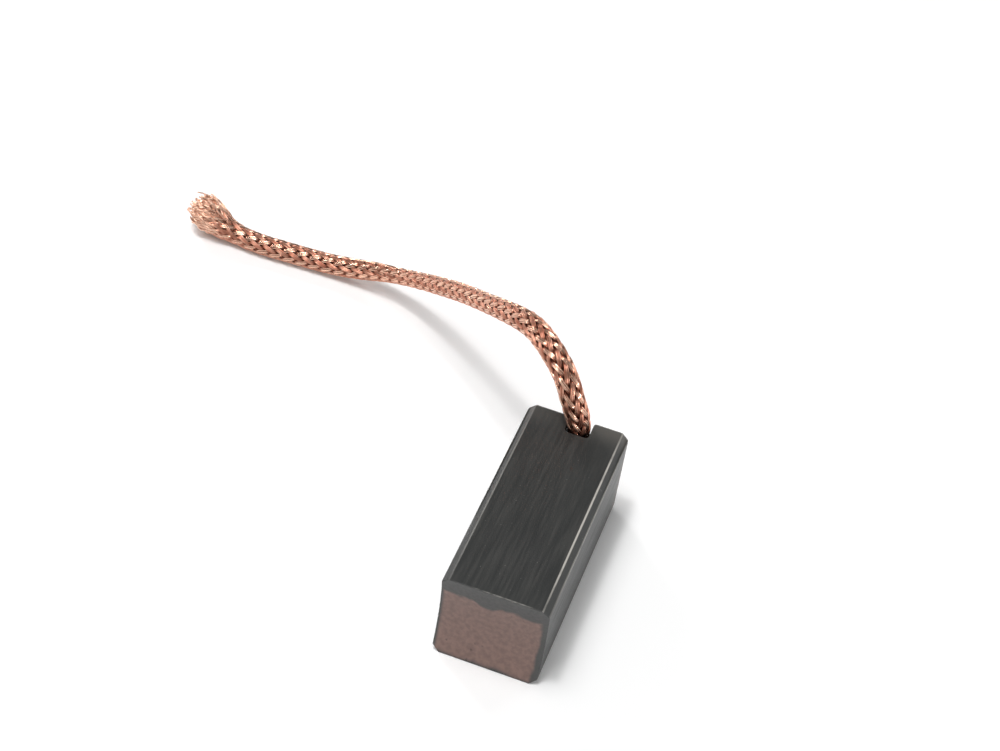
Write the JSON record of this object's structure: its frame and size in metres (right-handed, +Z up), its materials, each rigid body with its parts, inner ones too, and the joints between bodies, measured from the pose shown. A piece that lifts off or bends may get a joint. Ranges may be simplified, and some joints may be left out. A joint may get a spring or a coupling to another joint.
{
  "type": "carbon brush",
  "caption": "Small copper-graphite motor brush: a square block with a concave contact face and a braided copper pigtail rising from a notch in its back end.",
  "frame": {"origin": "centre of the block's underside, on the surface that the brush lies on", "axes": "+Z up out of the face that the pigtail leaves through; -Y out of the contact face, along the block; +X to the right, seen from the contact face"},
  "size_m": [0.0324, 0.0266, 0.0103],
  "materials": {
    "copper_graphite": "pressed and ground copper-graphite, dark grey and satin, with a brownish ground contact face",
    "copper_braid": "bare braided copper wire, satin, slightly dulled"
  },
  "bodies": {
    "root": {"carbon_block": "copper_graphite", "pigtail": "copper_braid"}
  },
  "joints": []
}
